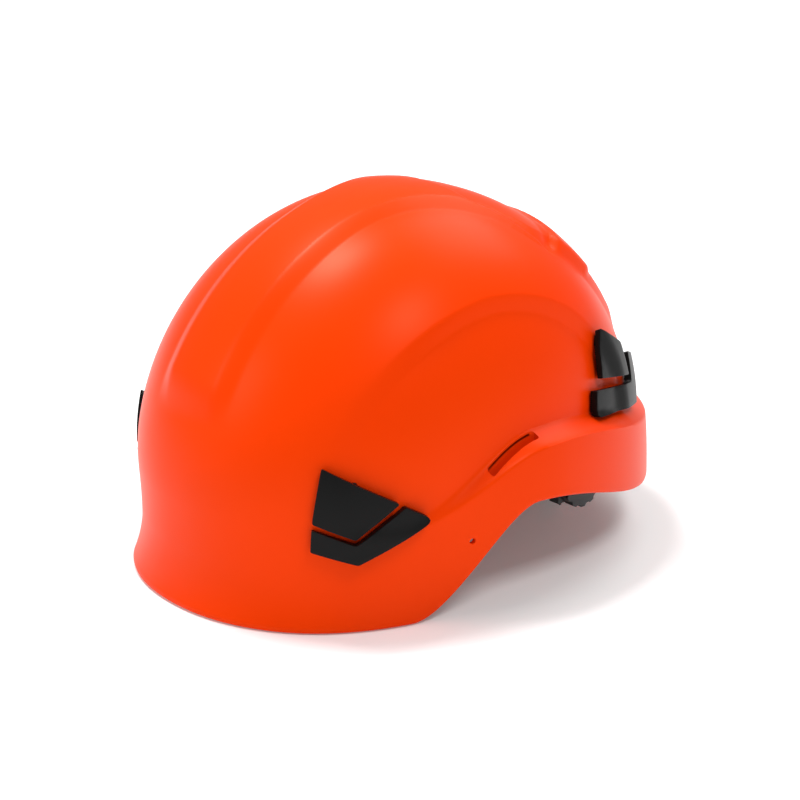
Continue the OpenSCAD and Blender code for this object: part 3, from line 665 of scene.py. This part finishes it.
def build_clip(end, name, side):
    """Fixed jaw with its root and two studs, and the springy flap."""
    corner = JAW_CORNER[end]
    jaw_corners = (corner, corner, JAW_TIP[end], corner, JAW_HEEL, corner)
    jaw = plate(f"{end}_clip_{name}_jaw", JAW[end], jaw_corners, CLIP_LOW, CLIP_HIGH, side)
    settle(jaw, "helmet", "clip_plastic", [f"{end}_clip_{name}"])
    root = plate(f"{end}_clip_{name}_root", ROOT[end], ROOT_CORNERS, ROOT_LOW, ROOT_HIGH, side, 0.15, 0)
    settle(root, "helmet", "clip_plastic")
    pegs = [prism(circle(STUD_R), (STUD_LOW, high), skin_place(*at, side))
            for at, high in zip(STUDS[end], STUD_TOPS)]
    studs = bevelled(join_parts(f"{end}_clip_{name}_studs", pegs), 0.4, 2)
    settle(studs, "helmet", "clip_plastic")
    flap = plate(f"{end}_clip_flap_{name}_tongue", FLAP[end], FLAP_CORNERS, FLAP_LOW, CLIP_HIGH, side)
    settle(flap, f"{end}_flap_{name}", "clip_plastic", [f"{end}_clip_flap_{name}"])


for name, side in SIDES.items():
    for end in ("front", "rear"):
        build_clip(end, name, side)

# ---------------------------------------------------------------- fittings of hard plastic
BODY_OF = {part: body for body, parts in frame["record"]["behaviour"]["bodies"].items() for part in parts}
# How far each fitting's edges are rounded, by the start of its node's name.
ROUNDING = {"adjuster_wheel": 0.7, "buckle_socket": 0.9, "buckle_plug": 0.8, "buckle_prong": 0.5,
            "cradle_key": 0.7, "chin_web_key": 0.6, "strap_divider": 0.9, "strap_keeper": 0.7,
            "adjuster_cover": 0.35, "nape_yoke": 0.4, "headband": 0.45, "rear_arm": 0.4, "pivot_pin": 0.4}

for cad_node in frame["nodes"]:
    for start, width in ROUNDING.items():
        if cad_node.startswith(start):
            softened(f"{cad_node}_moulding", cad_node, BODY_OF[cad_node], width)

# ---------------------------------------------------------------- webbing
WEB_WIDTH, WEB_THICK, CRADLE_Z = 15.5, 1.2, 150.0
KEY_DEPTH, KEY_HEIGHT, KEY_GAP = 6, 14, 2.5
KEY_FRONT, KEY_SIDE, KEY_REAR = (34, 57), (90, 94), (146, 84)
STRAP_TAIL = 4.0
STRAP_LIFTS = (0, 2.7, 5.4)  # each strap crosses over the one below it
SEAM_ROWS = (-5.5, -2, 2, 5.5)


def smooth_path(points, step):
    """Points along a smooth curve that passes through the given points."""
    p = np.asarray(points, float)
    ends = np.vstack([2 * p[0] - p[1], p, 2 * p[-1] - p[-2]])
    out = []
    for a, b, c, d in zip(ends, ends[1:], ends[2:], ends[3:]):
        count = max(1, math.ceil(np.linalg.norm(c - b) / step))
        square, cube = 2 * a - 5 * b + 4 * c - d, 3 * b - a - 3 * c + d
        for t in np.arange(count) / count:
            out.append((2 * b + (c - a) * t + square * t**2 + cube * t**3) / 2)
    return np.array([*out, p[-1]])


def ribbon(name, path, across, widths, thick, side=1, rounded=0.5):
    """Band with rounded edges along a path in shell millimetres; its UV map is in metres."""
    path = np.asarray(path, float)
    across = unit(np.broadcast_to(across, path.shape))
    normals = unit(np.cross(np.gradient(path, axis=0), across))
    widths = np.broadcast_to(widths, len(path))
    rings = [rounded_outline(w, thick, rounded, 2) for w in widths]
    points = [p + a * x + n * y for p, a, n, ring in zip(path, across, normals, rings) for x, y in ring]
    m = len(rings[0])
    faces = grid_faces(len(path), m, wrap=True)
    faces += [tuple(range(m))[::-1], tuple(range((len(path) - 1) * m, len(path) * m))]
    obj = from_points(name, to_frame(mirrored(points, side)), faces, 60)
    along = np.concatenate([[0], np.cumsum(np.linalg.norm(np.diff(path, axis=0), axis=1))])
    flat = np.array([(s, x) for s, ring in zip(along, rings) for x, _ in ring]) * MM
    corners = np.zeros(len(obj.data.loops), dtype=np.int32)
    obj.data.loops.foreach_get("vertex_index", corners)
    obj.data.uv_layers.new(name="weave").data.foreach_set("uv", flat[corners].ravel())
    return obj


def stitch(a, b, up, thick=0.45):
    """One thread stitch from a to b, standing half proud of the cloth."""
    along, side = b - a, unit(np.cross(b - a, up)) * thick / 2
    rise = unit(up) * thick * 0.45
    points, faces = [], []
    for t, scale in ((0, 0.25), (0.2, 1), (0.8, 1), (1, 0.25)):
        for turn in np.arange(6) * math.pi / 3:
            points.append(a + along * t + (side * math.cos(turn) + rise * math.sin(turn)) * scale)
    faces = grid_faces(4, 6, wrap=True) + [tuple(range(6))[::-1], tuple(range(18, 24))]
    return points, faces


def seam(path, up, length=2.4, gap=0.9):
    """Stitches along a path; up is the direction that the cloth faces at each point."""
    path, up = np.asarray(path, float), np.broadcast_to(up, np.shape(path))
    at = np.concatenate([[0], np.cumsum(np.linalg.norm(np.diff(path, axis=0), axis=1))])
    starts = np.arange(gap / 2, at[-1] - length, length + gap)

    def pick(values, s):
        return np.array([np.interp(s, at, values[:, k]) for k in range(3)])

    return [stitch(pick(path, s), pick(path, s + length), pick(up, s)) for s in starts]


def thread_piece(name, parts, body, slot, side=1):
    """Stitches as one piece on a body, with the thread's looks in place of its fabric's."""
    obj = join_parts(name, [(list(mirrored(points, side)), faces) for points, faces in parts])
    settle(obj, body, slot)
    obj.data.materials[0] = MATERIALS["stitching"]


def key_r(key):
    """Radius of the middle of a cradle key, just inside the wall."""
    inner_face = skin(*key, -WALL)
    return float(np.hypot(inner_face[0], inner_face[1])) - KEY_GAP - KEY_DEPTH / 2


def cradle_path(key_a, key_b, top, count=56, power=1.25):
    """A strap's middle line from one key over the head to the opposite one, and its width's direction."""
    t = np.linspace(0, math.pi, count)
    first = np.cos(t) >= 0
    lean, rise = np.abs(np.cos(t)) ** power, np.sin(t) ** power
    reach = np.where(first, key_r(key_a), -key_r(key_b)) * lean
    height = mix(np.where(first, key_a[1], key_b[1]) + KEY_HEIGHT / 2, top, rise)
    direction = np.array([sin_d(key_a[0]), -cos_d(key_a[0]), 0])
    over = direction * reach[:, None] + UP * height[:, None]
    tail_a = direction * key_r(key_a) + UP * (key_a[1] - STRAP_TAIL)
    tail_b = -direction * key_r(key_b) + UP * (key_b[1] - STRAP_TAIL)
    return np.vstack([tail_a, over, tail_b]), np.cross(direction, UP)


CRADLE = {"across": (KEY_SIDE, KEY_SIDE, CRADLE_Z + STRAP_LIFTS[2], 1),
          "diagonal_left": (KEY_FRONT, KEY_REAR, CRADLE_Z + STRAP_LIFTS[1], 1),
          "diagonal_right": (KEY_FRONT, KEY_REAR, CRADLE_Z + STRAP_LIFTS[0], -1)}
for name, (key_a, key_b, top, side) in CRADLE.items():
    path, across = cradle_path(key_a, key_b, top)
    strap = ribbon(f"cradle_strap_{name}_webbing", path, across, WEB_WIDTH, WEB_THICK, side)
    settle(strap, "helmet", "cradle_webbing", [f"cradle_strap_{name}"])
    normals = unit(np.cross(np.gradient(path, axis=0), across))
    threads = []
    for run in (slice(3, 10), slice(-10, -3)):
        for face in (-1, 1):
            up = normals[run] * face
            for edge in SEAM_ROWS:
                threads += seam(path[run] + across * edge + up * WEB_THICK / 2, up)
    thread_piece(f"cradle_stitching_{name}", threads, "helmet", "cradle_webbing", side)


# ---------------------------------------------------------------- chin strap
CHIN_W, CHIN_FRONT, CHIN_Z, CHIN_WEB = 94, 118, 14, 15
FRONT_WEB_W, REAR_WEB_W = 10, 12
DIVIDER_A, DIVIDER_Z = 62, 27
BEND_START, BEND_END = -22, -6  # points of the chin strap's path, taken on its right half
BUCKLE_Y = -115
FRONT_WEB = [(54.2, 107, 54.5), (55.5, 106, 49), (58, 103.5, 42), (60.5, 101.5, 36)]
REAR_WEB = [(109, 112, 61), (102, 107, 60.5), (94, 102, 59), (86, 98.5, 55.5),
            (78, 97, 49), (71, 98, 41), (66.5, 99.5, 34)]
CHIN_ENDS = [(34, -112.6, CHIN_Z), (29.5, -114.6, CHIN_Z), (25, BUCKLE_Y, CHIN_Z), (22, BUCKLE_Y, CHIN_Z)]


def polar(a, r, z):
    return np.array([r * sin_d(a), -r * cos_d(a), z])


def chin_path():
    """The chin strap's middle line, from its divider along the brim to the buckle."""
    points = []
    for t in np.linspace(0, 1, 10):
        at = outline(mix(DIVIDER_A - 4, 20, t), CHIN_W, CHIN_FRONT, CHIN_FRONT, OUTLINE_POWER)
        points.append([*at, mix(DIVIDER_Z - 3, CHIN_Z, smooth(t, 0, 0.6))])
    return smooth_path(points + CHIN_ENDS, 2.5)


for name, side in SIDES.items():
    front = smooth_path([polar(*p) for p in FRONT_WEB], 2)
    angle = np.degrees(np.arctan2(front[:, 0], -front[:, 1]))
    across = np.stack([cos_d(angle), sin_d(angle), 0 * angle], 1)
    web = ribbon(f"chin_web_front_{name}_webbing", front, across, FRONT_WEB_W, WEB_THICK, side)
    settle(web, "helmet", "chin_webbing", [f"chin_web_front_{name}"])
    rear = smooth_path([polar(*p) for p in REAR_WEB], 2)
    web = ribbon(f"chin_web_rear_{name}_webbing", rear, UP, REAR_WEB_W, WEB_THICK, side)
    settle(web, "helmet", "chin_webbing", [f"chin_web_rear_{name}"])
    path = chin_path()
    strap = ribbon(f"chin_strap_{name}_webbing", path, UP, CHIN_WEB, WEB_THICK, side)
    strap.data.materials.append(MATERIALS["chin_webbing"])
    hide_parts(f"chin_strap_{name}")
    if side == 1:
        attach(strap, "helmet")
    else:
        tuple(to_frame(mirrored(path[BEND_START], side)))
        tuple(to_frame(mirrored(path[BEND_END], side)))
        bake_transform(strap)
    up = unit(np.cross(np.gradient(path, axis=0), UP))
    run = slice(len(path) // 3, len(path) // 3 + 9)
    threads = []
    for edge in (-5, 0, 5):
        for face in (-1, 1):
            threads += seam(path[run] + UP * edge + up[run] * face * WEB_THICK / 2, up[run] * face)
    thread_piece(f"chin_stitching_{name}", threads, "helmet", "chin_webbing", side)

# ---------------------------------------------------------------- pads
BAND_W, BAND_FRONT, BAND_REAR, BAND_POWER, BAND_THICK = 82, 101, 104, 2.2, 1.6
PAD_THICK = 4.0
PAD_BACK = BAND_THICK / 2 + 0.4
PAD_BORDER = 3  # from a pad's edge to its stitched border
BROW = {"start": -60, "end": 60, "z": 47, "height": 30, "channels": (-36, -12, 12, 36)}
NAPE = {"start": 154, "end": 206, "z": 17, "height": 27, "channels": (167, 180, 193)}
CROWN_R, CROWN_DROP, CROWN_RING, CROWN_BORDER = 32.0, 9.5, 12, 28.5


def dent(x, at, half, depth):
    """Depth of a sewn groove of about that half width."""
    return depth * np.exp(-(((x - at) / half) ** 2))


def headband(a, inward):
    """Point of the headband's outline at an angle, moved inward."""
    return outline(a, BAND_W - inward, BAND_FRONT - inward, BAND_REAR - inward, BAND_POWER)


def lining_pad(name, cad_nodes, body, start, end, z, height, channels):
    """Crowned foam pad along the headband, drawn in at its border and at its sewn channels."""
    ring, stations = 64, 121
    turn = np.arange(ring) * 2 * math.pi / ring
    wide, deep = np.cos(turn), np.sin(turn)
    middle = PAD_BACK + PAD_THICK / 2
    points, seams = [], []
    for a in np.linspace(start, end, stations):
        u = abs(2 * (a - start) / (end - start) - 1)
        taper = max(0.12, (1 - u**12) ** (1 / 4))
        draw = 1 - sum(dent(a, c, 0.9, 0.6) for c in channels)
        half = height / 2 * mix(0.9, 1, taper) * (1 - 0.05 * (1 - draw))
        w = half * np.sign(wide) * np.abs(wide) ** 0.7
        border = 1 - dent(np.abs(w), half - PAD_BORDER, 0.6, 0.45)
        crown = np.where(deep > 0, np.abs(deep) ** 0.75 * border * draw, -np.abs(deep) ** 0.5)
        depth = middle + PAD_THICK / 2 * crown * taper
        for w_k, d_k in zip(w, depth):
            x, y = headband(a, d_k)
            points.append((x, y, z + w_k))
    faces = grid_faces(stations, ring, wrap=True)
    faces += [tuple(range(ring))[::-1], tuple(range((stations - 1) * ring, stations * ring))]
    pad = from_points(name, to_frame(points), faces, 80)
    settle(pad, body, "pad_fabric", cad_nodes)
    border_a = np.linspace(start + 3, end - 3, 90)
    inward = middle + PAD_THICK / 2 * 0.5
    for edge in (-1, 1):
        line = [(*headband(a, inward), z + edge * (height / 2 - PAD_BORDER)) for a in border_a]
        facing = [(-sin_d(a), cos_d(a), 0) for a in border_a]
        seams += seam(line, np.array(facing), 2.2, 1.0)
    thread_piece(f"{name}_stitching", seams, body, "pad_fabric")


def build_crown_pad():
    """Round crown pad with a sewn ring and six sewn spokes."""
    rings, spokes = 48, 144
    top = CRADLE_Z - WEB_THICK / 2 - 0.6
    turn = np.arange(spokes) * 2 * math.pi / spokes
    layers = []
    for side in (1, -1):
        for i in (range(rings + 1) if side == 1 else range(rings - 1, -1, -1)):
            r = CROWN_R * math.sin(math.pi / 2 * i / rings)
            edge = max(0, 1 - (r / CROWN_R) ** 8) ** 0.5
            draw = 1 - dent(r, CROWN_RING, 1.0, 0.55) - dent(r, CROWN_BORDER, 0.8, 0.45)
            between = smooth(r, CROWN_RING - 1, CROWN_RING + 1)
            between *= 1 - smooth(r, CROWN_BORDER - 1.5, CROWN_BORDER + 0.5)
            spoke = dent(np.sin(3 * turn) * r / 3, 0, 1.0, 1) * between
            swell = edge * (draw * (1 - 0.5 * spoke) if side == -1 else 1)
            z = top - PAD_THICK / 2 - CROWN_DROP * (r / CROWN_R) ** 2 + side * PAD_THICK / 2 * swell
            layers.append(np.stack([r * np.cos(turn), r * np.sin(turn), z + 0 * turn], 1))
    pole_top, pole_under = layers[0][0], layers[-1][0]
    body = np.concatenate(layers[1:-1])
    points = np.vstack([body, pole_top, pole_under])
    count = len(layers) - 2
    faces = grid_faces(count, spokes, wrap=True)
    faces += [(len(points) - 2, (j + 1) % spokes, j) for j in range(spokes)]
    last = (count - 1) * spokes
    faces += [(len(points) - 1, last + j, last + (j + 1) % spokes) for j in range(spokes)]
    pad = from_points("crown_pad_cushion", to_frame(points), faces, 80)
    settle(pad, "helmet", "pad_fabric", ["crown_pad"])


brow_nodes = [n for n in frame["nodes"] if n.startswith("brow_pad")]
lining_pad("brow_pad_cushion", brow_nodes, "helmet", **BROW)
lining_pad("nape_pad_cushion", ["nape_pad"], "nape_unit", **NAPE)
build_crown_pad()

# ---------------------------------------------------------------- CAD nodes that stay
for cad_node, obj in frame["nodes"].items():
    obj.data.materials.clear()
    obj.data.materials.append(MATERIALS[SLOT_OF[cad_node]])

# ---------------------------------------------------------------- stage, light and camera
CAMERA_AT = (49.5, 18.8, 1.0)  # azimuth and elevation in degrees, distance in metres
CAMERA_TARGET = (0, -CENTRE_Y * MM, 80 * MM)
SENSOR, LENS, SHIFT = 36, 86.85, (0.0178, -0.0154)
LIGHT_TARGET = (0, 0, 0.09)
# Azimuth, elevation, distance, side length and power of each square softbox.
LIGHTS = {"key": (-75, 70, 1.4, 0.4, 18), "side": (88, 55, 1.5, 0.4, 8),
          "front": (-20, 28, 1.5, 0.5, 4.5), "back": (190, 50, 1.6, 0.9, 9)}
WORLD_STRENGTH = 0.3
FLOOR_HALF, FLOOR_GAP = 60, 0.0005
GLOW_NEAR, GLOW_FAR, GLOW_RADIUS = 0.1, 0.8, 2.5


def build_floor():
    """Wide pale floor with a faint glow of its own away from the helmet, so that it stays evenly pale."""
    bm = bmesh.new()
    bmesh.ops.create_grid(bm, x_segments=40, y_segments=40, size=FLOOR_HALF)
    mesh = bpy.data.meshes.new("floor")
    bm.to_mesh(mesh)
    bm.free()
    floor = link("floor", mesh)
    floor.location.z = -FLOOR_GAP
    mat, tree, shader, where = principled("floor_look", 0.6)
    slow = node(tree, "ShaderNodeTexNoise", Scale=3.0, Detail=2.0)
    tree.links.new(where.outputs["Object"], slow.inputs["Vector"])
    two_colours(tree, shader, slow.outputs["Fac"], (0.86, 0.86, 0.86), (0.88, 0.88, 0.88))
    shader.inputs["Emission Color"].default_value = (1, 1, 1, 1)
    wide = node(tree, "ShaderNodeMapping")
    wide.inputs["Scale"].default_value = (1 / GLOW_RADIUS,) * 3
    tree.links.new(where.outputs["Object"], wide.inputs["Vector"])
    far = node(tree, "ShaderNodeTexGradient", gradient_type="SPHERICAL")
    tree.links.new(wide.outputs["Vector"], far.inputs["Vector"])
    glow = node(tree, "ShaderNodeMapRange")
    glow.inputs["To Min"].default_value = GLOW_FAR
    glow.inputs["To Max"].default_value = GLOW_NEAR
    tree.links.new(far.outputs["Fac"], glow.inputs["Value"])
    tree.links.new(glow.outputs["Result"], shader.inputs["Emission Strength"])
    mesh.materials.append(mat)


def aim(obj, target, azimuth, elevation, distance):
    """Places a lamp or camera by angle from the helmet's front, facing the target."""
    az, el = math.radians(azimuth), math.radians(elevation)
    back = Vector((math.sin(az) * math.cos(el), -math.cos(az) * math.cos(el), math.sin(el)))
    obj.location = Vector(target) + back * distance
    obj.rotation_mode = "QUATERNION"
    obj.rotation_quaternion = (-back).to_track_quat("-Z", "Y")


def build_lights():
    for name, (azimuth, elevation, distance, size, power) in LIGHTS.items():
        data = bpy.data.lights.new(name, "AREA")
        data.shape = "RECTANGLE"
        data.size = data.size_y = size
        data.energy = power
        aim(link(name, data), LIGHT_TARGET, azimuth, elevation, distance)
    world = bpy.data.worlds.new("studio")
    world.use_nodes = True
    sky = world.node_tree.nodes["Background"]
    sky.inputs["Color"].default_value = (1, 1, 1, 1)
    sky.inputs["Strength"].default_value = WORLD_STRENGTH
    bpy.context.scene.world = world
    bpy.context.scene.view_settings.view_transform = "Standard"


def build_camera():
    data = bpy.data.cameras.new("camera")
    data.sensor_width, data.lens = SENSOR, LENS
    data.shift_x, data.shift_y = SHIFT
    data.clip_start, data.clip_end = 0.05, 50
    camera = link("camera", data)
    aim(camera, CAMERA_TARGET, *CAMERA_AT)
    bpy.context.scene.camera = camera


build_floor()
build_lights()
build_camera()
